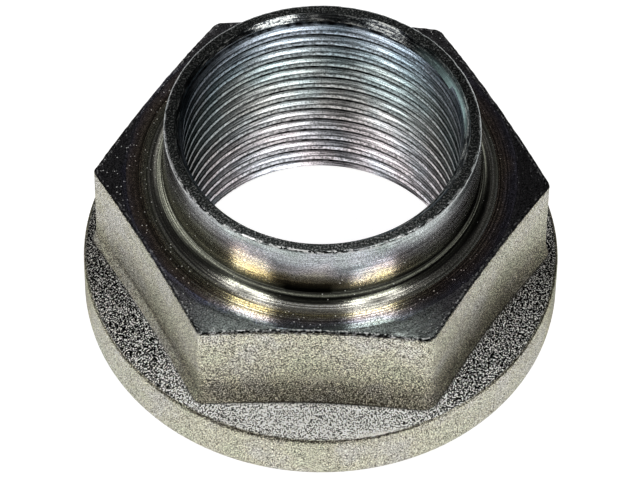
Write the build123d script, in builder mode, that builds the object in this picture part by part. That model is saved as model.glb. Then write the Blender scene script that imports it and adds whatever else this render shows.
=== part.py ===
from build123d import *
import math
import os

# Spindle nut: one piece of steel, forged as a hexagon on a conical flange, then turned
# at its upper end, where a thin collar is left to be staked into the spindle's groove.
# Millimetres, +Z up. The origin is the centre of the bearing face under the flange,
# and +Z runs along the bore towards the collar.

# Thread: metric fine, cut through the whole nut
thread_diameter = 26.0
thread_pitch = 1.5
countersink_relief = 0.7

# Forged hexagon: the wall is the steel between the thread and the flats
head_wall = 4.6
head_height = 15.85
corner_radius = 0.9

# Forged flange, which stands out past the corners of the hexagon
flange_overhang = 1.08
flange_slope = 16.0
rim_height = 4.85
rim_upper_edge = 0.3
rim_lower_edge = 0.4

# Forged foot: from a crease above the flange the six walls flare out on a draft
foot_rise = 2.75
foot_draft = 13.0

# Turned end face, whose outer cone takes the tips off the corners
chamfer_inset = 0.25
chamfer_slope = 15.6

# Turned collar above the end face
collar_wall = 0.92
collar_length = 6.65
collar_fillet = 1.9
lip_edge = 0.15


def cone_drop(run, slope):
    """Height lost over a horizontal run down a cone of so many degrees."""
    return run * math.tan(math.radians(slope))


core_radius = (thread_diameter - thread_pitch) / 2
lead_in_depth = thread_pitch / 2
countersink_depth = lead_in_depth + countersink_relief
flats_radius = thread_diameter / 2 + head_wall
corner_reach = flats_radius / math.cos(math.radians(30))
flange_radius = corner_reach + flange_overhang
collar_radius = thread_diameter / 2 + collar_wall
flange_crest = rim_height + cone_drop(flange_radius - collar_radius, flange_slope)
chamfer_radius = flats_radius - chamfer_inset
chamfer_low = head_height - cone_drop(corner_reach - chamfer_radius, chamfer_slope)
crease_height = rim_height + foot_rise

# Flange: a straight rim under a shallow cone that rises towards the hexagon, edges broken
with BuildPart() as flange:
    with BuildSketch(Plane.XZ) as flange_section:
        with BuildLine():
            Polyline(
                (0, 0),
                (flange_radius, 0),
                (flange_radius, rim_height),
                (collar_radius, flange_crest),
                (0, flange_crest),
                close=True,
            )
        make_face()
        lower_corner, upper_corner = flange_section.vertices().group_by(Axis.X)[-1].sort_by(Axis.Y)
        chamfer(lower_corner, rim_lower_edge)
        chamfer(upper_corner, rim_upper_edge)
    revolve(axis=Axis.Z)

# The turned form of the hexagon's end: a flat face inside a cone that cuts the corners
with BuildPart() as turned_end:
    with BuildSketch(Plane.XZ):
        with BuildLine():
            Polyline(
                (0, 0),
                (corner_reach, 0),
                (corner_reach, chamfer_low),
                (chamfer_radius, head_height),
                (0, head_height),
                close=True,
            )
        make_face()
    revolve(axis=Axis.Z)

with BuildPart() as spindle_nut:
    # Hexagon, with two of its corners on the X axis, cut to the turned form at its end
    with BuildSketch(Plane.XY.offset(crease_height)) as hexagon:
        RegularPolygon(radius=flats_radius, side_count=6, major_radius=False)
        fillet(hexagon.vertices(), corner_radius)
    extrude(amount=head_height - crease_height)
    add(turned_end.part, mode=Mode.INTERSECT)

    # Foot, flared from the crease down into the flange
    extrude(hexagon.sketch, amount=-foot_rise, taper=-foot_draft)
    add(flange.part)

    # Collar, swept into the end face at its foot, with its lip's edge broken
    with BuildSketch(Plane.XY.offset(head_height)):
        Circle(collar_radius)
    extrude(amount=collar_length)
    collar = spindle_nut.faces(Select.LAST).filter_by(GeomType.CYLINDER)[0]
    collar_foot, lip = collar.edges().filter_by(GeomType.CIRCLE).sort_by(Axis.Z)
    fillet(collar_foot, collar_fillet)
    chamfer(lip, lip_edge)

    # Bore at the thread's core, countersunk for the spindle and opened at the lip
    Hole(core_radius)
    bore = spindle_nut.faces(Select.LAST).filter_by(GeomType.CYLINDER)[0]
    lower_mouth, upper_mouth = bore.edges().filter_by(GeomType.CIRCLE).sort_by(Axis.Z)
    chamfer(lower_mouth, countersink_depth)
    chamfer(upper_mouth, lead_in_depth)

spindle_nut.part.label = "spindle_nut"
os.makedirs("parts", exist_ok=True)
export_step(spindle_nut.part, "parts/spindle_nut.step")
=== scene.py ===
import math

import bmesh
import bpy
import numpy as np
from mathutils import Matrix, Vector


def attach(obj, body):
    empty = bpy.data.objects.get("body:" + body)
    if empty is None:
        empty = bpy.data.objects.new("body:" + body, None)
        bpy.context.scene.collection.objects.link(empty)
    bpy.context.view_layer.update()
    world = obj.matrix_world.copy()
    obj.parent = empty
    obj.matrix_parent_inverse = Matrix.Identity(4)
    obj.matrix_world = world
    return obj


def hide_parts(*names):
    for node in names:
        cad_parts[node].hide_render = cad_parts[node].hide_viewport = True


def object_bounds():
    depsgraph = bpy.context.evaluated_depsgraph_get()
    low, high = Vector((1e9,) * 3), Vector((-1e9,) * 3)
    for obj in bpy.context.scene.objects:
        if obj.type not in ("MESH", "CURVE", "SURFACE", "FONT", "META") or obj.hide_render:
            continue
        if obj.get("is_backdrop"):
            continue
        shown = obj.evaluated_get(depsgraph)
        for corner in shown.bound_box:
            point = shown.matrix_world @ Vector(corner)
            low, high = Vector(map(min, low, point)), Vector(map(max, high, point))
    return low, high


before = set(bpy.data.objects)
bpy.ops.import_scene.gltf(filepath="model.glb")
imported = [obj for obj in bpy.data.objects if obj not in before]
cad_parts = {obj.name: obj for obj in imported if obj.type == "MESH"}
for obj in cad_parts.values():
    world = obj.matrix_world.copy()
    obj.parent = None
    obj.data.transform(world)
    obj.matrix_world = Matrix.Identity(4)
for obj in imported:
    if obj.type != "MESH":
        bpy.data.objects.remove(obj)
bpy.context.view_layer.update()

# Sizes in millimetres, from the CAD. The mesh is scaled to metres as it is made.
MM = 0.001
CORE, ROOT = 12.25, 13.0  # radii of the thread's crests and roots
PITCH = 1.5
FLATS = 17.6  # from the axis to a wall of the hexagon
FACE_Z, TURN_R, CONE_SLOPE = 15.85, 17.35, math.tan(math.radians(15.6))
COLLAR_R, FILLET, TOP_Z = 13.92, 1.9, 22.5
COLLAR_TOP = TOP_Z - 0.42  # below the lip's rounded edge
COLLAR_TAPER = 0.026
FILLET_R, FILLET_Z = TURN_R - 1.53, FACE_Z + FILLET  # centre of the fillet's arc
RIM_R, RIM_Z, RIM_SLOPE = 21.4, 4.85, math.tan(math.radians(16.0))
CREST_R = 21.08  # where the flange's cone ends in a crest
SINK_R = 13.7
CORNER_RADII = np.array([0.9, 0.8, 0.9, 0.8, 0.55, 1.3])
DRAFT = math.tan(math.radians(13.0))

# Mesh: columns all round, gathered towards the corners of the hexagon
SECTOR = 60.0
PER_SECTOR = 63
COLUMNS = 6 * PER_SECTOR
GATHER = 0.85
MERGE = 0.000003  # metres
SMOOTH_BELOW = math.radians(38)


def waves(angle, seed, low, high, count=14):
    """A smooth periodic function of an angle, about 1 high, from seeded harmonics."""
    pick = np.random.default_rng(seed)
    orders = pick.integers(low, high + 1, count)
    phases = pick.uniform(0, 6.28, count)
    return sum(np.sin(n * angle + p) for n, p in zip(orders, phases)) / math.sqrt(count / 2)


def bell(value, centre, width):
    """1 at the centre, falling off smoothly; angles in degrees wrap round."""
    off = (value - centre + 180.0) % 360.0 - 180.0
    return np.exp(-((off / width) ** 2))


u = np.arange(PER_SECTOR) / PER_SECTOR
in_sector = SECTOR * (u - GATHER * np.sin(2 * np.pi * u) / (2 * np.pi))
degrees = np.concatenate([SECTOR * s + in_sector for s in range(6)])
theta = np.radians(degrees)
# Angle from the nearest corner, and how far along its wall a column is (0 corner, 1 middle)
corner = np.round(degrees / SECTOR).astype(int) % 6
phi = np.radians((degrees + 30.0) % SECTOR - 30.0)
mid = np.abs(np.degrees(phi)) / 30.0
corner_radius = CORNER_RADII[corner]


def hexagon(offset):
    """Radius of the rounded hexagon in each column, with its walls moved out by offset."""
    half = math.radians(30)
    flat, rnd = FLATS + offset, corner_radius + np.maximum(offset, -0.3)
    centre = (flat - rnd) / math.cos(half)
    touch = np.arctan2(rnd * 0.5, centre + rnd * math.cos(half))
    on_wall = flat / np.cos(half - np.abs(phi))
    under_root = np.maximum(rnd**2 - (centre * np.sin(phi)) ** 2, 0.0)
    on_arc = centre * np.cos(phi) + np.sqrt(under_root)
    return np.where(np.abs(phi) < touch, on_arc, on_wall)


rows = []  # (radius, height, material, {name: vertex values})
FACE, SWEEP, CONE, FORGED, GRIT, THREAD, LIP, BEARING, MOUTH = range(9)


def row(radius, height, material, grit=0.0, edge=0.0, shade=0.0):
    """One ring of the outside, from the lip's inner edge over the rim to the countersink.

    grit is how coarse the forging is, edge how torn the metal is (its white chips are painted
    glints) and, on the flange's crest, how strong a painted highlight is, and shade how much
    painted shade darkens it there.
    """
    one = np.ones(COLUMNS)
    extra = {"grit": grit * one, "edge": edge * one, "shade": shade * one}
    rows.append((radius * one, height * one, material, extra))


# Lip: a flat cut end with nicks and a fine burr, which is turned up and torn at the front
NICKS = (  # azimuth, width, depth
    (236.3, 1.0, 0.10), (296.8, 1.2, 0.05), (308.3, 0.9, 0.09), (320.4, 1.1, 0.08),
    (32.1, 1.3, 0.09), (216.2, 0.8, 0.05), (263.7, 0.7, 0.05),
)
nicks = sum(depth * bell(degrees, azimuth, width) for azimuth, width, depth in NICKS)
burr = 0.012 * waves(theta, 3, 30, 110) + 0.01 * waves(theta, 4, 9, 25)
turned_up = bell(degrees, 262.0, 50.0)
# Painted shade: a dark line just under the lip's outer edge, at the front and right
under = bell(degrees, 292.0, 55.0)
row(ROOT, TOP_Z, LIP)
row(13.05, TOP_Z - 0.004, LIP)
row(13.3, TOP_Z - 0.012, LIP)
row(13.55, TOP_Z - 0.010, LIP)
row(13.71 - 0.5 * nicks + burr, TOP_Z - 0.008 - 0.2 * nicks, LIP, edge=0.15 + turned_up)
row(13.80 - 0.8 * nicks + burr, TOP_Z - 0.042 - 0.3 * nicks, SWEEP, edge=0.3 + 0.9 * turned_up)
row(13.87 - 1.0 * nicks + 0.6 * burr, TOP_Z - 0.085, SWEEP,
    edge=0.25 + 0.6 * turned_up, shade=0.9 * under)
row(13.915 - 0.6 * nicks, TOP_Z - 0.18, SWEEP, edge=0.3, shade=0.4 * under)
row(COLLAR_R, COLLAR_TOP, SWEEP)

# The turned metal is lit in two fans at the front, with a dark gap between them; these masks
# place painted shade on the collar and the fillet
gap = np.clip(1.7 * bell(degrees, 266.5, 11.0), 0, 1)
fans = np.clip(bell(degrees, 246.0, 13.0) + bell(degrees, 291.0, 13.0), 0, 1) * (1 - gap)
right = bell(degrees, 345.0, 32.0)
left = bell(degrees, 206.0, 37.0)
# Painted shade low on the collar, in the gap between the fans and on the right
for z, dark in ((21.2, 0.0), (20.2, 0.0), (19.2, 0.05), (18.4, 0.4), (17.95, 0.8)):
    row(COLLAR_R + COLLAR_TAPER * (COLLAR_TOP - z), z, SWEEP,
        shade=dark * np.maximum(gap, 0.7 * right))

# Turned fillet at the collar's foot. STEPS are what the tool left in it, by the angle down
# from the collar; the table after them is painted shade in dark lines and bands: angles,
# levels, and where round the nut.
STEPS = {
    0: -0.11, 6: -0.10, 12: -0.08, 18: -0.05, 24: 0.01, 27: -0.01, 30: -0.02, 36: 0.015,
    50: 0.004, 54: -0.004, 60: 0.0, 63: 0.005, 66: 0.0, 72: 0.010, 78: -0.007,
}
FILLET_ANGLES = (
    0, 6, 12, 18, 24, 27, 30, 33, 36, 39, 42, 45, 48,
    50, 52, 54, 57, 60, 63, 66, 69, 72, 75, 78, 84,
)
PAINTED_FILLET_SHADE = (
    ([0, 6, 12, 18, 24, 27, 30, 33, 36, 39, 42, 45, 48],
     [0.1, 0.1, 0.5, 0.86, 1.0, 0.85, 0.75, 0.7, 0.45, 0.97, 0.94, 0.3, 0.0],
     (1 - 0.75 * left) * (1 - 0.16 * bell(degrees, 290.0, 12.0))),
    ([0, 14, 25, 27, 29],
     [0.92, 1.0, 1.0, 0.8, 0.0],
     np.maximum(gap, 0.8 * right)),
    ([24, 28, 33, 36, 39, 42, 64, 72],
     [1.0, 0.93, 0.9, 0.5, 0.8, 0.93, 0.8, 0.0],
     right),
    ([48, 51, 53, 56, 61, 63.5, 66, 69, 72, 75],
     [0, 0.9, 0.9, 0, 0, 0.3, 0, 0, 0.9, 0],
     np.maximum(gap, 0.15)),
    ([48, 50, 52, 54, 57, 60, 63, 66, 69, 72],
     [0, 0.1, 0.8, 0.3, 0.96, 0.99, 0.9, 0.97, 0.8, 0],
     fans),
    ([42, 44, 47, 52, 54, 57, 60, 63, 66, 69],
     [0, 0.4, 0, 0, 0.3, 0.75, 0.7, 0.85, 0.5, 0],
     left),
)
for a in FILLET_ANGLES:
    turn, reach = math.radians(a), FILLET + STEPS.get(a, 0.0)
    fillet_shade = np.max([np.interp(a, angles, levels) * where for angles, levels, where in PAINTED_FILLET_SHADE], 0)
    row(FILLET_R - reach * math.cos(turn), FILLET_Z - reach * math.sin(turn), SWEEP, shade=fillet_shade)
row(15.6, FACE_Z + 0.012, FACE)
for r in (15.82, 16.15, 16.55, 17.0):
    row(r, FACE_Z, FACE)

# Outer cone over the corners, then the burr where the turning tool left the forged walls
wall = hexagon(0.0)
edge = wall - 0.37
turned_r = np.minimum(TURN_R, edge - 0.03)


def cone_z(r):
    """Height of the end face and of the cone outside it."""
    return FACE_Z - np.maximum(r - TURN_R, 0.0) * CONE_SLOPE


for f in (0.0, 0.33, 0.67, 1.0):
    r = turned_r + f * (edge - turned_r)
    row(r, cone_z(r), FACE if f == 0.0 else CONE)
top = cone_z(wall)
ragged = 0.016 * waves(theta, 7, 60, 170) + 0.014 * waves(theta, 8, 20, 50)
# Painted shade: a dark line along the burr, strongest at the front; the burr's white chips are torn
# metal painted as glints
painted_line_shade = 0.2 + 0.8 * np.clip(1.5 * bell(degrees, 270.0, 32.0), 0, 1)
for inward, torn, dark in ((0.34, 0.9, 0.0), (0.25, 0.9, 0.2), (0.21, 0.2, 1.3), (0.03, 0.2, 1.3)):
    wavy = ragged * (0.8 if torn < 0.5 else 0.3)
    row(wall - inward + wavy, cone_z(wall - inward) + 0.2 * wavy, CONE,
        edge=torn * (0.15 + 0.85 * painted_line_shade), shade=dark * painted_line_shade)
row(wall + 0.4 * ragged, top - 0.03 + 0.5 * ragged, FORGED, edge=0.2, shade=2.2 * painted_line_shade)
row(wall + 0.012 + 0.4 * ragged, top - 0.10 + ragged, FORGED, edge=0.4, shade=1.8 * painted_line_shade)
row(wall + 0.008, top - 0.15 + 0.5 * ragged, FORGED, edge=0.7)
row(wall, top - 0.24, FORGED)

# Forged walls, which flare out from a crease that is sharp on the left and soft on the right
wall_left = bell(degrees, 210.0, 24.0)
wall_front = bell(degrees, 270.0, 24.0)
wall_right = bell(degrees, 330.0, 24.0)
crease = 7.6 + 0.25 * wall_left + 0.9 * wall_front - 0.2 * wall_right - 1.0 * (1 - mid) ** 3
soft = 0.32 - 0.17 * wall_left + 0.5 * wall_front + 0.35 * wall_right
draft = DRAFT * (1.0 - 0.25 * wall_right - 0.2 * wall_front)


def flare(z):
    """How far the walls stand out at a height, from a rounded bend at the crease."""
    return draft * soft * np.log1p(np.exp(np.clip((crease - z) / soft, -30, 30)))


# Where the walls meet the flange's cone, by repeated substitution
foot_z = np.full(COLUMNS, 5.9)
for _ in range(40):
    foot_z = RIM_Z + (RIM_R - hexagon(flare(foot_z))) * RIM_SLOPE
climb = 0.28 + 0.25 * mid
start_z = foot_z + climb
crease = np.maximum(crease, start_z + 0.35)
upper = top - 0.22
# Painted shade: a dark line along the crease, strongest on the left
line = 0.55 * wall_left + 0.1
FLARE_TOP = 1.4  # rows above this height over the crease are spread evenly


def painted_wall_shade(z):
    """Painted shade on the walls: darker towards the foot, most at the front, and higher up on the
    left and right walls.
    """
    dark = np.interp(z, [5.5, 6.8, 8.0, 9.5, 12.5], [0.9, 0.85, 0.6, 0.24, 0.0])
    sides = np.interp(z, [8.0, 10.5, 13.5], [0.62, 0.46, 0.0])
    front = np.interp(z, [5.8, 7.6, 9.2, 10.5, 13.0], [0.7, 0.65, 0.2, 0.2, 0.04])
    dark = dark * (1 - 0.4 * wall_left) + sides * (wall_left + 1.3 * wall_right)
    return dark + front * wall_front


for f in (0.2, 0.4, 0.6, 0.8):
    z = upper + f * (crease + FLARE_TOP - upper)
    row(hexagon(flare(z)), z, FORGED, shade=painted_wall_shade(z))
for lift, more in ((FLARE_TOP, 0.0), (0.6, 0.0), (0.24, 0.2), (0.07, 1.1)):
    z = crease + lift
    row(hexagon(flare(z)), z, FORGED, shade=painted_wall_shade(z) + more * line)
for f, grit, more in ((0.12, 0.0, 1.2), (0.3, 0.0, 0.2), (0.7, 0.0, 0.0), (1.0, 0.25, 0.0)):
    z = crease - f * (crease - start_z)
    row(hexagon(flare(z)), z, FORGED, grit, shade=painted_wall_shade(z) * (1 - 0.7 * wall_left) + more * line)

# The foot bends out of the wall into the cone along a curve with three control points
start_r, foot_r = hexagon(flare(start_z)), hexagon(flare(foot_z))
run = 0.18 + 0.3 * mid
end_r = foot_r + run
end_z = RIM_Z + (RIM_R - end_r) * RIM_SLOPE
# Painted shade in the foot's bend, less on the left
for t, grit, shade in ((0.25, 0.5, 0.6), (0.5, 0.8, 0.35), (0.75, 1.0, 0.1), (1.0, 1.0, 0.0)):
    a, b, c = (1 - t) ** 2, 2 * t * (1 - t), t**2
    row(a * start_r + b * foot_r + c * end_r, a * start_z + b * foot_z + c * end_z, GRIT, grit,
        shade=shade * (1 - 0.6 * wall_left))

# Flange cone, left as forged and coarse, with a painted highlight on a short stretch of its
# crest and painted shade along the rest of the crest
bright = 0.95 * bell(degrees, 285.5, 6.5)
for k, f in enumerate((0.12, 0.26, 0.41, 0.56, 0.7, 0.83, 0.93, 1.0)):
    r = end_r + f * (CREST_R - end_r)
    lump = 0.016 * waves(theta, 40 + k, 25, 90) if f < 1.0 else 0.0
    row(r, RIM_Z + (RIM_R - r) * RIM_SLOPE + lump, GRIT, 1.0,
        edge=bright * np.interp(f, [0.8, 1.0], [0.0, 1.0]),
        shade=0.3 * (1 - bright) if f == 1.0 else 0.0)

# Rim, lower edge, bearing ring and countersink
wander = 0.010 * waves(theta, 21, 2, 7) - 0.014
# Painted shade: a dark line along the rim's upper edge, broken under the crest's painted highlight
# and fainter on the left, and a painted shadow below it at the front
painted_line_shade = 1 - 0.9 * bell(degrees, 306.0, 9.0) - 0.5 * bell(degrees, 200.0, 30.0)
drawn = bell(degrees, 258.0, 20.0)
chipped = 0.012 * waves(theta, 23, 40, 120)
row(21.17 + wander + chipped, 4.87, GRIT, 0.8, edge=bright, shade=0.6 * painted_line_shade * (1 - bright))
row(21.27 + wander + chipped, 4.81 - chipped, FORGED, 0.2, shade=2.3 * painted_line_shade)
row(21.35 + wander, 4.70, FORGED, shade=0.25 * painted_line_shade + 1.1 * drawn)
row(RIM_R + wander, 4.5, FORGED, shade=0.3 * drawn)
for z in (3.9, 3.2, 2.5, 1.8, 1.1, 0.55):
    row(RIM_R + wander, z, FORGED)
row(21.36 + wander, 0.24, FORGED)
row(21.24 + wander, 0.08, FORGED)
row(21.02, 0.0, BEARING)
for r in (19.6, 18.0, 16.4, 14.9, 13.95):
    row(r, 0.0, BEARING)
row(SINK_R - 0.03, 0.03, BEARING)

verts, faces, marks = [], [], []  # marks: each face's material
for radius, height, material, extra in rows:
    verts.append(np.stack([radius * np.cos(theta), radius * np.sin(theta), height], 1))
outer = len(rows)
for j in range(outer - 1):
    for i in range(COLUMNS):
        k = (i + 1) % COLUMNS
        low, high = j * COLUMNS, (j + 1) * COLUMNS
        faces.append((low + i, low + k, high + k, high + i))
        marks.append(rows[j + 1][2])

# Thread: one ribbon of rings that climb a pitch a turn, joined to itself at the seam.
# PROFILE gives phases of one turn, from the lower edge of a crest upwards, with their radii.
PROFILE = (
    (0.0, 12.262), (0.03, CORE), (0.24, CORE), (0.265, 12.262), (0.29, 12.30), (0.43, 12.62),
    (0.565, 12.96), (0.645, ROOT), (0.725, 12.96), (0.865, 12.62),
)
TURNS = range(-1, 16)
THREAD_START = 0.55
LOW_Z = SINK_R - ROOT
MOUTH_FROM = TOP_Z - ROOT - 0.05  # height less radius on the chamfer at the mouth
heights, radii = [], []
for turn in TURNS:
    for phase, radius in PROFILE:
        z = THREAD_START + PITCH * (turn + phase + theta / (2 * np.pi))
        z = np.clip(z, LOW_Z, TOP_Z)
        chamfered = np.maximum(ROOT - (TOP_Z - z), SINK_R - z)
        heights.append(z)
        radii.append(np.maximum(radius, chamfered))
for z, r in zip(heights, radii):
    verts.append(np.stack([r * np.cos(theta), r * np.sin(theta), z], 1))
base, inner, per_turn = outer * COLUMNS, len(heights), len(PROFILE)
for j in range(inner - 1):
    for i in range(COLUMNS):
        a, b = base + j * COLUMNS + i, base + (j + 1) * COLUMNS + i
        if i + 1 < COLUMNS:
            c, d = b + 1, a + 1
        elif j + 1 + per_turn < inner:
            d = base + (j + per_turn) * COLUMNS
            c = base + (j + 1 + per_turn) * COLUMNS
        else:
            continue
        faces.append((a, b, c, d))
        marks.append(MOUTH if heights[j][i] - radii[j][i] > MOUTH_FROM else THREAD)

# The last ring of the outside is tied to the thread's lowest ring
sink = len(verts) * COLUMNS
verts.append(np.stack([ROOT * np.cos(theta), ROOT * np.sin(theta), np.full(COLUMNS, LOW_Z)], 1))
for i in range(COLUMNS):
    k = (i + 1) % COLUMNS
    j = (outer - 1) * COLUMNS
    faces.append((j + i, j + k, sink + k, sink + i))
    marks.append(BEARING)

verts = np.concatenate(verts) * MM
mesh = bpy.data.meshes.new("nut_surface")
mesh.from_pydata(verts.tolist(), [], faces)
mesh.polygons.foreach_set("material_index", np.array(marks, np.int32))
for name in ("grit", "edge", "shade"):
    values = np.zeros(len(verts), np.float32)
    values[: outer * COLUMNS] = np.concatenate([extra[name] for *_, extra in rows])
    mesh.attributes.new(name, "FLOAT", "POINT").data.foreach_set("value", values)
bm = bmesh.new()
bm.from_mesh(mesh)
bmesh.ops.remove_doubles(bm, verts=bm.verts, dist=MERGE)
loose = [v for v in bm.verts if not v.link_faces]
bmesh.ops.delete(bm, geom=loose, context="VERTS")
bmesh.ops.recalc_face_normals(bm, faces=bm.faces)
bm.to_mesh(mesh)
bm.free()
mesh.shade_smooth()
mesh.set_sharp_from_angle(angle=SMOOTH_BELOW)

nut = bpy.data.objects.new("nut_surface", mesh)
bpy.context.scene.collection.objects.link(nut)


# Materials. Lengths in them are in metres, and noise scales are per metre.
class Nodes:
    """Short calls for building the nodes of a material that knows its place on the part.

    where is the position in metres, z its height, radius its distance from the axis, and
    cosine and sine its azimuth: sine is -1 at the front, cosine -1 on the left.
    """

    def __init__(self, name):
        self.material = bpy.data.materials.new(name)
        self.material.use_nodes = True
        self.tree = self.material.node_tree
        self.tree.nodes.clear()
        self.out = self.new("ShaderNodeOutputMaterial")
        self.where = self.new("ShaderNodeTexCoord").outputs["Object"]
        split = self.new("ShaderNodeSeparateXYZ")
        self.put(split.inputs[0], self.where)
        x, y, self.z = split.outputs
        self.radius = self.math("SQRT", self.plus(self.times(x, x), self.times(y, y)))
        self.cosine = self.math("DIVIDE", x, self.radius)
        self.sine = self.math("DIVIDE", y, self.radius)

    def new(self, kind, **settings):
        node = self.tree.nodes.new(kind)
        for key, value in settings.items():
            setattr(node, key, value)
        return node

    def put(self, socket, value):
        if isinstance(value, bpy.types.NodeSocket):
            self.tree.links.new(value, socket)
        else:
            socket.default_value = value

    def math(self, operation, *values, clamp=False):
        node = self.new("ShaderNodeMath", operation=operation, use_clamp=clamp)
        for socket, value in zip(node.inputs, values):
            self.put(socket, value)
        return node.outputs[0]

    def times(self, first, *rest, clamp=False):
        for value in rest:
            first = self.math("MULTIPLY", first, value, clamp=clamp)
        return first

    def plus(self, first, *rest):
        for value in rest:
            first = self.math("ADD", first, value)
        return first

    def minus(self, first, second):
        return self.math("SUBTRACT", first, second)

    def vector(self, x, y, z):
        node = self.new("ShaderNodeCombineXYZ")
        for socket, value in zip(node.inputs, (x, y, z)):
            self.put(socket, value)
        return node.outputs[0]

    def ring(self, around, along, scale):
        """Coordinates for marks that run round the axis: drawn out round it, fine along it."""
        return self.vector(
            self.times(self.cosine, around), self.times(self.sine, around), self.times(along, scale)
        )

    def even(self, scale):
        """Coordinates for marks that are the same in all directions."""
        node = self.new("ShaderNodeVectorMath", operation="MULTIPLY")
        self.put(node.inputs[0], self.where)
        node.inputs[1].default_value = (scale, scale, scale)
        return node.outputs[0]

    def noise(self, vector, scale, detail=2.0, rough=0.5):
        node = self.new("ShaderNodeTexNoise")
        self.put(node.inputs["Vector"], vector)
        node.inputs["Scale"].default_value = scale
        node.inputs["Detail"].default_value = detail
        node.inputs["Roughness"].default_value = rough
        node.inputs["Distortion"].default_value = 0.0
        return node.outputs["Fac"]

    def cells(self, scale):
        node = self.new("ShaderNodeTexVoronoi")
        self.put(node.inputs["Vector"], self.where)
        node.inputs["Scale"].default_value = scale
        return node.outputs["Distance"], node.outputs["Color"]

    def spread(self, value, low, high, to_low=0.0, to_high=1.0, smooth=False):
        """The value mapped from low..high to to_low..to_high, and held beyond."""
        node = self.new("ShaderNodeMapRange")
        node.interpolation_type = "SMOOTHSTEP" if smooth else "LINEAR"
        for socket, v in zip(node.inputs, (value, low, high, to_low, to_high)):
            self.put(socket, v)
        return node.outputs["Result"]

    def ramp(self, value, stops):
        node = self.new("ShaderNodeValToRGB")
        self.put(node.inputs[0], value)
        while len(node.color_ramp.elements) < len(stops):
            node.color_ramp.elements.new(0.5)
        for element, (place, colour) in zip(node.color_ramp.elements, stops):
            element.position = place
            element.color = (*colour, 1.0)
        return node.outputs[0]

    def mix(self, factor, a, b, blend="MIX"):
        node = self.new("ShaderNodeMix", data_type="RGBA", blend_type=blend)
        self.put(node.inputs[0], factor)
        for socket, value in ((node.inputs[6], a), (node.inputs[7], b)):
            is_socket = isinstance(value, bpy.types.NodeSocket)
            self.put(socket, value if is_socket else (*value, 1.0))
        return node.outputs[2]

    def shaded(self, colour, level):
        """The colour times a level, which is a value or three numbers."""
        if isinstance(level, bpy.types.NodeSocket):
            level = self.vector(level, level, level)
        return self.mix(1.0, colour, level, "MULTIPLY")

    def toned(self, amount, colour, level):
        """The colour, times a level as far as amount goes."""
        return self.mix(amount, colour, self.shaded(colour, level))

    def bump(self, height, distance, normal=None):
        node = self.new("ShaderNodeBump")
        node.inputs["Strength"].default_value = 1.0
        node.inputs["Distance"].default_value = distance
        self.put(node.inputs["Height"], height)
        if normal is not None:
            self.put(node.inputs["Normal"], normal)
        return node.outputs[0]

    def value(self, name):
        """A value that is painted on the mesh's vertices."""
        return self.new("ShaderNodeAttribute", attribute_name=name).outputs["Fac"]

    def metal(self, colour, rough, normal, anisotropy=0.0, graze=1.0, metallic=1.0):
        shader = self.new("ShaderNodeBsdfPrincipled")
        self.put(shader.inputs["Metallic"], metallic)
        shader.inputs["Specular Tint"].default_value = (graze, graze, graze, 1)
        shader.inputs["Specular IOR Level"].default_value = 0.1
        self.put(shader.inputs["Base Color"], colour)
        self.put(shader.inputs["Roughness"], rough)
        self.put(shader.inputs["Normal"], normal)
        if anisotropy:
            shader.inputs["Anisotropic"].default_value = anisotropy
            shader.inputs["Anisotropic Rotation"].default_value = 0.25
            tangent = self.new("ShaderNodeTangent", direction_type="RADIAL", axis="Z")
            self.put(shader.inputs["Tangent"], tangent.outputs[0])
        self.put(self.out.inputs["Surface"], shader.outputs[0])
        return self.material


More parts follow.
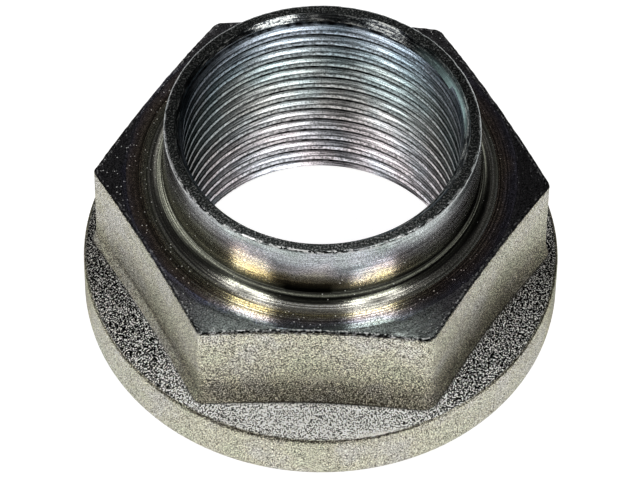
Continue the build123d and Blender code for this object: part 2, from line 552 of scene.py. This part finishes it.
def turned(name, film, side, lean, rough, anisotropy, depth, lines, grains, specked):
    """Turned and passivated faces: concentric tool marks under a thin coloured film, and specks.

    film and side are the film's colours by thickness at the front and on the sides, where they
    are darker as painted shade, lean how bright the left and right sides are painted, depth the
    tool marks' depth, lines and grains the contrast of the marks and of the grain, and specked
    how rare the specks are, from 0 to 1.
    """
    n = Nodes(name)
    along = n.minus(n.radius, n.times(n.z, 0.83))
    ring = n.ring(0.8, along, 3600.0)
    tool = n.noise(ring, 1.0, 3.0, 0.6)
    fine = n.noise(ring, 2.1, 1.0, 0.5)

    # The film thickens away from the fillet, both out along the face and up the collar
    away = n.math(
        "MAXIMUM", n.minus(n.radius, 0.0156), n.times(n.minus(n.z, 0.0178), 0.42)
    )
    thick = n.plus(
        n.times(away, 400.0),
        n.times(n.noise(n.ring(1.6, along, 420.0), 1.0, 2.0, 0.5), 0.5),
        n.spread(n.noise(n.where, 320.0, 2.0), 0.3, 0.7, -0.15, 0.15),
        n.times(n.cosine, 0.16),
    )
    # Painted light and shade by side: the side colours are darker and scaled by lean
    front = n.spread(n.sine, -0.92, -0.74, 1.0, 0.0, True)
    sides = n.shaded(n.ramp(thick, side), n.spread(n.cosine, -0.6, 0.6, *lean))
    colour = n.mix(front, sides, n.ramp(thick, film))
    # Painted shade: the collar is darker between the two fans of light
    between = n.times(
        n.spread(n.cosine, -0.30, -0.16),
        n.spread(n.cosine, 0.14, 0.26, 1.0, 0.0),
        n.spread(n.z, 0.0196, 0.0204),
    )
    colour = n.toned(n.times(between, front), colour, (0.74, 0.74, 0.74))

    # The fillet has no film; its lowest line is painted brightest, a painted highlight, and away
    # from the front everything is a little darker, painted shade
    swept = n.times(
        n.spread(n.radius, 0.0152, 0.0156, 1.0, 0.0, True),
        n.spread(n.z, 0.0172, 0.0177, 1.0, 0.0, True),
    )
    bare_with_painted_highlight = n.mix(n.spread(n.z, 0.01612, 0.0163), (0.85, 0.83, 0.73), (0.45, 0.46, 0.37))
    colour = n.mix(swept, colour, bare_with_painted_highlight)
    colour = n.toned(n.times(n.minus(1.0, front), 0.25), colour, (0.4, 0.4, 0.4))

    # Grooves in the fillet and the inner face, then the tool's marks and grain all over
    cut = n.times(n.spread(n.radius, 0.0140, 0.0142), n.spread(n.radius, 0.0162, 0.0171, 1.0, 0.0))
    groove = n.noise(n.ring(0.5, along, 10500.0), 1.0, 0.0)
    colour = n.toned(cut, colour, n.spread(groove, 0.38, 0.56, 0.35, 1.35))
    colour = n.shaded(colour, n.spread(fine, 0.35, 0.65, 1.0 - lines, 1.0 + lines))
    grain = n.noise(n.where, 9000.0, 1.0)
    colour = n.shaded(colour, n.spread(grain, 0.38, 0.62, 1.0 - grains, 1.0 + grains))

    # Painted shade in a faint dark line where the face bends into the cone, and a painted
    # highlight in a bright line just outside it
    step = n.math("ABSOLUTE", n.minus(n.radius, TURN_R * MM))
    colour = n.shaded(colour, n.spread(step, 0.00002, 0.00006, 0.75, 1.0))
    brow = n.times(
        n.spread(n.radius, 0.01735, 0.01737), n.spread(n.radius, 0.01742, 0.01762, 1.0, 0.0)
    )
    colour = n.toned(brow, colour, (1.7, 1.7, 1.7))
    # Painted shade from the mesh's shade values, down to nearly black
    colour = n.mix(n.value("shade"), colour, (0.004, 0.004, 0.0035))

    # Bright specks, fewer on the right, and torn or chipped edges whose white chips are painted
    # glints as well
    specks, pick = n.cells(3900.0)
    dust = n.times(n.spread(pick, specked, specked + 0.03), n.spread(n.cosine, 0.45, 0.8, 1.0, 0.3))
    dot = n.times(n.spread(specks, 0.14, 0.24, 1.0, 0.0), dust)
    colour = n.mix(dot, colour, (0.85, 0.85, 0.82))
    high = n.spread(n.z, 0.0185, 0.0195)
    torn = n.noise(n.mix(high, n.even(3800.0), n.ring(24.0, along, 3200.0)), 1.0, 2.0, 0.6)
    worn = n.value("edge")
    colour = n.mix(n.times(worn, n.spread(torn, 0.44, 0.52, 0.9, 0.0)), colour, (0.02, 0.02, 0.02))
    chips = n.times(worn, n.spread(n.plus(torn, n.times(high, 0.03)), 0.50, 0.58))
    colour = n.mix(chips, colour, (0.9, 0.9, 0.88))

    normal = n.bump(tool, depth)
    normal = n.bump(n.plus(dot, chips), 0.00003, normal)
    polish = n.plus(n.spread(tool, 0.3, 0.7, rough - 0.04, rough + 0.05), n.times(dot, 0.4))
    matte = n.minus(1.0, n.times(n.math("MAXIMUM", chips, n.times(dot, 0.6)), 0.7))
    return n.metal(colour, polish, normal, anisotropy, 0.6, matte)


def forged(name):
    """Forged, blasted and plated walls: matte and fine grained, with painted shade from the mesh's
    shade values, the side walls painted lighter and the rim's far left and right painted darker.
    """
    n = Nodes(name)
    grain = n.noise(n.where, 11500.0, 1.0, 0.5)
    lumps = n.noise(n.where, 4200.0, 2.0, 0.5)
    cloud = n.noise(n.where, 260.0, 3.0, 0.55)
    colour = n.ramp(
        cloud, ((0.35, (0.65, 0.65, 0.50)), (0.5, (0.71, 0.67, 0.52)), (0.65, (0.69, 0.66, 0.57)))
    )
    both = n.plus(n.times(grain, 0.85), n.times(lumps, 0.15))
    colour = n.shaded(colour, n.spread(both, 0.41, 0.59, 0.0, 1.7))
    # Painted shade from the mesh's shade values, patchy with the grain
    thin = n.times(n.value("shade"), n.spread(both, 0.4, 0.6, 2.0, 0.25), clamp=True)
    colour = n.mix(thin, colour, (0.035, 0.030, 0.022))
    # Painted light: the left and right walls are lighter
    aside = n.math("ABSOLUTE", n.cosine)
    colour = n.shaded(colour, n.spread(aside, 0.4, 0.8, 1.0, 1.14))
    # Painted shade: the rim is darker at its far left and right
    painted_side_shade = n.times(n.spread(n.radius, 0.0208, 0.0212), n.spread(aside, 0.93, 0.99))
    colour = n.toned(painted_side_shade, colour, (0.58, 0.58, 0.56))
    # Torn burr: dark chips, and white chips that are torn metal painted as glints
    worn, chips = n.value("edge"), n.noise(n.where, 3500.0, 2.0, 0.6)
    colour = n.mix(n.times(worn, n.spread(chips, 0.50, 0.56)), colour, (0.03, 0.03, 0.03))
    torn = n.times(worn, n.spread(chips, 0.43, 0.48, 1.0, 0.0))
    colour = n.mix(torn, colour, (0.95, 0.95, 0.93))
    polish = n.spread(grain, 0.3, 0.7, 0.36, 0.5)
    matte = n.spread(torn, 0.0, 1.0, 1.0, 0.3)
    return n.metal(colour, polish, n.bump(both, 0.00006), 0.0, 0.45, matte)


def coarse(name):
    """The flange's cone: coarse forged grit, its grains' glints and its light and shade by azimuth
    painted in the colour.
    """
    n = Nodes(name)
    seeds = n.noise(n.where, 8400.0, 1.0, 0.4)
    pits = n.noise(n.where, 9000.0, 2.0, 0.6)
    height = n.times(n.plus(seeds, n.times(pits, 0.35)), n.value("grit"))
    # Painted light and shade: the front is painted bright all over; on the sides the grains are
    # painted as bright glints on dark ground
    turn = n.plus(n.sine, n.times(n.cosine, 0.06))
    levels = ((0.0, 1.0), (0.06, 0.95), (0.15, 0.75), (0.25, 0.52),
              (0.375, 0.36), (0.5, 0.21), (0.7, 0.4), (1.0, 0.55))
    level = n.ramp(n.spread(turn, -1.0, 1.0), [(place, (v, v, v)) for place, v in levels])
    gaps = n.spread(turn, -1.0, -0.72, 0.05, 0.0)
    least = n.spread(turn, -1.0, -0.72, 0.44, 0.55)
    peak = n.spread(turn, -1.0, -0.72, 1.5, 3.2)
    bead = n.spread(seeds, least, n.plus(least, 0.07), gaps, peak)
    colour = n.shaded(n.shaded(level, bead), (0.98, 0.965, 0.90))
    # A painted highlight on the crest, from the edge values, and painted shade from the shade
    # values
    colour = n.mix(n.value("edge"), colour, (1.0, 0.97, 0.90))
    colour = n.mix(n.value("shade"), colour, (0.035, 0.032, 0.026))
    polish = n.spread(pits, 0.3, 0.7, 0.3, 0.45)
    matte = n.spread(n.value("edge"), 0.0, 1.0, 0.5, 0.05)
    return n.metal(colour, polish, n.bump(height, 0.00016), 0.0, 0.4, matte)


def threads(name):
    """Tapped thread: bright flanks with tearing along the cut, tinted down the bore; the flanks'
    highlights by the crests and the shade at the roots and on the left and right are painted.
    """
    n = Nodes(name)
    tear = n.noise(n.ring(4.0, n.plus(n.radius, n.z), 5200.0), 1.0, 3.0, 0.6)
    grain = n.noise(n.where, 4200.0, 2.0, 0.6)
    wavy = n.noise(n.ring(16.0, n.z, 1500.0), 1.0, 2.0)
    radius = n.plus(n.radius, n.spread(wavy, 0.3, 0.7, -0.00001, 0.00001))
    crest = n.spread(radius, 0.012275, 0.012295, 1.0, 0.0)

    tint = n.ramp(
        n.spread(n.z, 0.0, 0.0225),
        ((0.05, (0.74, 0.68, 0.71)), (0.3, (0.62, 0.57, 0.58)), (0.5, (0.50, 0.50, 0.48)),
         (0.72, (0.46, 0.52, 0.51)), (0.92, (0.47, 0.54, 0.62))),
    )
    cool = n.spread(n.noise(n.where, 240.0, 2.0), 0.42, 0.62)
    tint = n.toned(cool, tint, (0.88, 0.98, 1.02))
    # Painted shade: the bore is darker at its far left and right
    painted_side_shade = n.times(
        n.spread(n.cosine, -0.97, -0.72, 0.54, 1.0), n.spread(n.cosine, 0.78, 0.97, 1.0, 0.62)
    )
    tint = n.shaded(tint, painted_side_shade)

    # Crests are dotted, flanks streaked and painted darker on the left; a painted highlight
    # brightens a flank by the crest, and painted shade darkens it at the root
    dots = n.spread(n.plus(n.times(tear, 0.3), n.times(grain, 0.7)), 0.4, 0.6, 0.3, 1.5)
    fine = n.noise(n.ring(3.0, radius, 9000.0), 1.0, 1.0)
    specks = n.noise(n.where, 9000.0, 1.0)
    streaks = n.times(
        n.spread(n.plus(tear, fine), 0.82, 1.15, 0.2, 0.95),
        n.spread(specks, 0.36, 0.5, 0.45, 1.1),
        n.spread(n.cosine, -0.98, -0.75, 0.45, 1.0),
    )
    colour = n.shaded(tint, n.spread(crest, 0.0, 1.0, streaks, dots))
    shine = n.times(
        n.spread(radius, 0.01235, 0.012375, 0.35, 1.0), n.spread(radius, 0.01238, 0.01255, 1.5, 1.0)
    )
    root = n.spread(wavy, 0.4, 0.65, 0.02, 0.4)
    depth = n.spread(radius, 0.01262, 0.01274, 1.0, root, True)
    colour = n.shaded(colour, n.times(n.spread(crest, 0.0, 1.0, shine, 1.0), depth))
    normal = n.bump(tear, 0.00002)
    normal = n.bump(n.times(grain, crest), 0.00006, normal)
    return n.metal(colour, 0.32, normal)


def mouth(name):
    """Chamfer at the thread's mouth: nearly black, with bright torn marks, teal on one side."""
    n = Nodes(name)
    marks = n.plus(
        n.times(n.noise(n.ring(8.0, n.z, 8500.0), 1.0, 2.0, 0.6), 0.7),
        n.times(n.noise(n.where, 5200.0, 1.0), 0.3),
    )
    colour = n.ramp(
        marks, ((0.44, (0.03, 0.035, 0.04)), (0.52, (0.30, 0.32, 0.32)), (0.60, (0.68, 0.69, 0.66)))
    )
    smooth = n.times(
        n.spread(n.cosine, 0.6, 0.8),
        n.spread(n.sine, -0.05, 0.2),
        n.spread(n.z, 0.0221, 0.0223, 1.0, 0.15),
        n.spread(n.noise(n.where, 900.0, 3.0), 0.35, 0.5, 0.8, 1.0),
    )
    colour = n.mix(smooth, colour, (0.67, 0.95, 0.94))
    # Painted shade: darker on the left, and beyond the teal side at the back right
    colour = n.shaded(colour, n.spread(n.cosine, -0.95, -0.5, 0.3, 1.0))
    beyond = n.times(n.spread(n.cosine, 0.22, 0.36), n.spread(n.sine, 0.3, 0.6))
    colour = n.toned(beyond, colour, (0.4, 0.4, 0.4))
    matte = n.minus(n.spread(marks, 0.55, 0.62, 1.0, 0.75), n.times(smooth, 0.13))
    return n.metal(colour, 0.24, n.bump(marks, 0.00002), 0.9, 1.0, matte)


def lip_cut(name):
    """The lip's cut end: charcoal and finely speckled, painted lighter at the front."""
    n = Nodes(name)
    grain = n.noise(n.where, 6000.0, 2.0, 0.6)
    colour = n.ramp(
        grain,
        ((0.40, (0.04, 0.045, 0.043)), (0.55, (0.14, 0.15, 0.145)), (0.65, (0.75, 0.77, 0.75))),
    )
    colour = n.shaded(colour, n.spread(n.sine, -0.9, 0.3, 1.7, 0.85))
    return n.metal(colour, 0.38, n.bump(grain, 0.00004), 0.5)


def bearing(name):
    """Bearing ring and countersink: turned, matte, with broad concentric marks."""
    n = Nodes(name)
    tool = n.noise(n.ring(1.5, n.plus(n.radius, n.z), 2600.0), 1.0, 3.0, 0.6)
    cloud = n.noise(n.where, 300.0, 3.0)
    colour = n.ramp(cloud, ((0.35, (0.5, 0.49, 0.44)), (0.65, (0.6, 0.58, 0.52))))
    colour = n.shaded(colour, n.spread(tool, 0.3, 0.7, 0.8, 1.15))
    return n.metal(colour, 0.4, n.bump(tool, 0.00002), 0.6)


# The film's colours by its thickness: on the face, the cone and the collar, front and sides;
# the side ramps differ in the film's hue and are darker, which is painted shade
FILM = (
    (0.30, (0.62, 0.55, 0.34)), (0.50, (0.64, 0.58, 0.45)), (0.64, (0.60, 0.54, 0.55)),
    (0.80, (0.44, 0.45, 0.51)), (0.95, (0.38, 0.44, 0.42)),
)
FILM_SIDE = (
    (0.15, (0.46, 0.44, 0.34)), (0.35, (0.49, 0.40, 0.31)), (0.60, (0.47, 0.37, 0.33)),
    (0.78, (0.42, 0.36, 0.39)), (0.92, (0.36, 0.34, 0.43)),
)
TEAL = ((0.7, (0.26, 0.29, 0.46)), (0.85, (0.26, 0.295, 0.385)), (1.0, (0.27, 0.30, 0.285)))
DUSK = ((0.4, (0.18, 0.15, 0.18)), (0.7, (0.15, 0.145, 0.21)), (1.0, (0.16, 0.155, 0.165)))
SILVER = (
    (0.20, (0.57, 0.50, 0.35)), (0.38, (0.63, 0.59, 0.49)), (0.56, (0.64, 0.60, 0.61)),
    (0.78, (0.57, 0.59, 0.63)), (1.0, (0.53, 0.59, 0.57)),
)
SILVER_SIDE = (
    (0.20, (0.48, 0.48, 0.37)), (0.40, (0.48, 0.49, 0.42)), (0.60, (0.49, 0.49, 0.48)),
    (0.80, (0.45, 0.46, 0.47)), (1.0, (0.44, 0.47, 0.47)),
)
materials = [
    turned("turned_face", FILM, FILM_SIDE, lean=(1.35, 1.05), rough=0.22, anisotropy=1.0,
           depth=0.000012, lines=0.3, grains=0.6, specked=0.73),
    turned("turned_collar", SILVER, SILVER_SIDE, lean=(1.15, 1.5), rough=0.19, anisotropy=0.7,
           depth=0.000003, lines=0.2, grains=0.4, specked=0.82),
    turned("turned_cone", TEAL, DUSK, lean=(1.2, 0.9), rough=0.28, anisotropy=0.3,
           depth=0.000001, lines=0.08, grains=0.7, specked=0.64),
    forged("forged_wall"),
    coarse("forged_grit"),
    threads("tapped_thread"),
    lip_cut("cut_lip"),
    bearing("bearing_ring"),
    mouth("thread_mouth"),
]
for material in materials:
    mesh.materials.append(material)
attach(nut, "root")
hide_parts("spindle_nut")


# Camera, as fitted to the photo's edges: focal length in pixels, axes, and place in millimetres
FOCAL, PHOTO_WIDTH, SENSOR = 5200.43, 640.0, 36.0
CAMERA_AT = (5.7617, -284.7949, 377.4531)
CAMERA_RIGHT, CAMERA_UP = (0.999434, 0.032374, 0.009119), (-0.031235, 0.792849, 0.608618)
camera = bpy.data.cameras.new("photo_camera")
camera.lens = FOCAL * SENSOR / PHOTO_WIDTH
camera.sensor_width = SENSOR
camera.clip_start, camera.clip_end = 0.02, 20.0
viewer = bpy.data.objects.new("photo_camera", camera)
bpy.context.scene.collection.objects.link(viewer)
to_right, upward = Vector(CAMERA_RIGHT), Vector(CAMERA_UP)
to_right.normalize()
back = to_right.cross(upward).normalized()
upward = back.cross(to_right)
turned_to = Matrix((to_right, upward, back)).transposed().to_4x4()
viewer.matrix_world = Matrix.Translation(Vector(CAMERA_AT) * MM) @ turned_to
bpy.context.scene.camera = viewer


# Studio: a white world and floor for the rays that see them, and cards that metal reflects
SEES_WHITE = ("Is Camera Ray", "Is Glossy Ray", "Is Transmission Ray")
FLOOR_REACH, FLOOR_DROP = 8, 0.00002
PAPER_SHADE, PAPER_GLOW = 0.32, 0.93
TENT_R, BOX_R = 3, 0.9
BOX_CENTRE = 0.613  # sine of the angle off the zenith at which a level face mirrors the camera
BOX_POINTS = 9


def white_for(nodes, links):
    """1 for rays that see the white background, 0 for the rest."""
    path = nodes.new("ShaderNodeLightPath")
    total = path.outputs[SEES_WHITE[0]]
    for name in SEES_WHITE[1:]:
        larger = nodes.new("ShaderNodeMath")
        larger.operation = "MAXIMUM"
        links.new(total, larger.inputs[0])
        links.new(path.outputs[name], larger.inputs[1])
        total = larger.outputs[0]
    return total


world = bpy.data.worlds.new("studio")
bpy.context.scene.world = world
world.use_nodes = True
nodes, links = world.node_tree.nodes, world.node_tree.links
nodes.clear()
seen = nodes.new("ShaderNodeBackground")
seen.inputs["Strength"].default_value = 1.0
seen.inputs["Color"].default_value = (1, 1, 1, 1)
fill = nodes.new("ShaderNodeBackground")
fill.inputs["Strength"].default_value = 1.0
choose = nodes.new("ShaderNodeMixShader")
links.new(white_for(nodes, links), choose.inputs[0])
links.new(fill.outputs[0], choose.inputs[1])
links.new(seen.outputs[0], choose.inputs[2])
links.new(choose.outputs[0], nodes.new("ShaderNodeOutputWorld").inputs[0])

# Floor: white paper that keeps the nut's soft shadow
floor_mesh = bpy.data.meshes.new("floor")
corners = [
    (x * FLOOR_REACH, y * FLOOR_REACH, 0) for x, y in ((-1, -1), (1, -1), (1, 1), (-1, 1))
]
floor_mesh.from_pydata(corners, [], [(0, 1, 2, 3)])
floor = bpy.data.objects.new("floor", floor_mesh)
floor.location.z = -FLOOR_DROP
bpy.context.scene.collection.objects.link(floor)
paper = bpy.data.materials.new("white_paper")
paper.use_nodes = True
nodes, links = paper.node_tree.nodes, paper.node_tree.links
nodes.clear()
sheet = nodes.new("ShaderNodeBsdfDiffuse")
sheet.inputs["Color"].default_value = (PAPER_SHADE, PAPER_SHADE, PAPER_SHADE, 1)
shine = nodes.new("ShaderNodeEmission")
shine.inputs["Color"].default_value = (1, 1, 1, 1)
power = nodes.new("ShaderNodeMath")
power.operation = "MULTIPLY"
power.inputs[1].default_value = PAPER_GLOW
links.new(white_for(nodes, links), power.inputs[0])
links.new(power.outputs[0], shine.inputs["Strength"])
both = nodes.new("ShaderNodeAddShader")
links.new(sheet.outputs[0], both.inputs[0])
links.new(shine.outputs[0], both.inputs[1])
links.new(both.outputs[0], nodes.new("ShaderNodeOutputMaterial").inputs[0])
floor_mesh.materials.append(paper)
floor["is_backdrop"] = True


def card(name, points, quads, levels, lamp):
    """A sheet in the studio that glows by its vertices' levels and that only reflections see."""
    sheet = bpy.data.meshes.new(name)
    sheet.from_pydata(points, [], quads)
    glow = sheet.attributes.new("glow", "FLOAT", "POINT")
    glow.data.foreach_set("value", np.array(levels, np.float32))
    cloth = bpy.data.materials.new(name)
    cloth.use_nodes = True
    cloth.cycles.emission_sampling = "FRONT_BACK" if lamp else "NONE"
    nodes, links = cloth.node_tree.nodes, cloth.node_tree.links
    nodes.clear()
    level = nodes.new("ShaderNodeAttribute")
    level.attribute_name = "glow"
    light = nodes.new("ShaderNodeEmission")
    links.new(level.outputs["Fac"], light.inputs["Strength"])
    links.new(light.outputs[0], nodes.new("ShaderNodeOutputMaterial").inputs[0])
    sheet.materials.append(cloth)
    holder = bpy.data.objects.new(name, sheet)
    bpy.context.scene.collection.objects.link(holder)
    for rays in ("camera", "diffuse", "shadow", "transmission", "volume_scatter"):
        setattr(holder, "visible_" + rays, False)
    holder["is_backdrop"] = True


def grid(columns, lines):
    """Quads between points listed line by line."""
    return [
        (j * columns + i, j * columns + i + 1, (j + 1) * columns + i + 1, (j + 1) * columns + i)
        for j in range(lines - 1)
        for i in range(columns - 1)
    ]


def tent(azimuth, elevation):
    """The dark tent's level: nearly black, with a dim band of backdrop above the table."""
    band = np.interp(elevation, [1.0, 4.0, 16.0, 21.0], [0.0, 1.0, 1.0, 0.0])
    side = 0.04 + 0.28 * bell(azimuth, 0.0, 50.0) + 0.4 * bell(azimuth, -100.0, 45.0)
    side = side + 0.2 * bell(azimuth, 180.0, 40.0)
    over = np.interp(elevation, [60.0, 67.0, 84.0, 90.0], [0.0, 1.0, 1.0, 0.4])
    near = bell(azimuth, 0.0, 75.0)
    near = near + (1 - near) * np.interp(elevation, [81.0, 90.0], [0.0, 1.0])
    flanks = np.interp(elevation, [15.0, 25.0, 60.0, 72.0], [0.0, 1.0, 1.0, 0.0])
    flanks = 0.03 * flanks * (bell(azimuth, 135.0, 35.0) + bell(azimuth, -135.0, 35.0))
    return 0.018 + 0.75 * over * near + band * side + flanks


ELEVATIONS = (0.6, 2, 4, 7, 10, 13, 16, 19, 22, 30, 40, 50, 55, 60, 65, 70, 75, 80, 85, 90)
AZIMUTHS = range(0, 361, 5)
points, levels = [], []
for elevation in ELEVATIONS:
    for azimuth in AZIMUTHS:
        e, a = math.radians(elevation), math.radians(azimuth)
        points.append((
            TENT_R * math.cos(e) * math.sin(a),
            -TENT_R * math.cos(e) * math.cos(a),
            TENT_R * math.sin(e),
        ))
        levels.append(tent(azimuth, elevation))
card("dark_tent", points, grid(len(AZIMUTHS), len(ELEVATIONS)), levels, False)


def softbox(name, sides, near, far, radiance):
    """A soft light whose streak on the turned faces lies between two azimuths from the front."""
    points = []
    for t in np.linspace(near, far, BOX_POINTS):
        for side in np.linspace(*sides, BOX_POINTS):
            a = math.radians(side)
            x, y = t * math.sin(a), BOX_CENTRE - t * math.cos(a)
            points.append((BOX_R * x, BOX_R * y, BOX_R * math.sqrt(1 - x * x - y * y)))
    card(name, points, grid(BOX_POINTS, BOX_POINTS), [radiance] * len(points), True)


softbox("softbox_left", (-32, -18), 0.75, 1.3, 6.0)
softbox("softbox_right", (12, 27.5), 0.75, 1.3, 5.8)
softbox("softbox_gap", (-18, 12), 0.72, 0.98, 0.08)

scene = bpy.context.scene
scene.view_settings.view_transform = "Standard"

low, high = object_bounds()
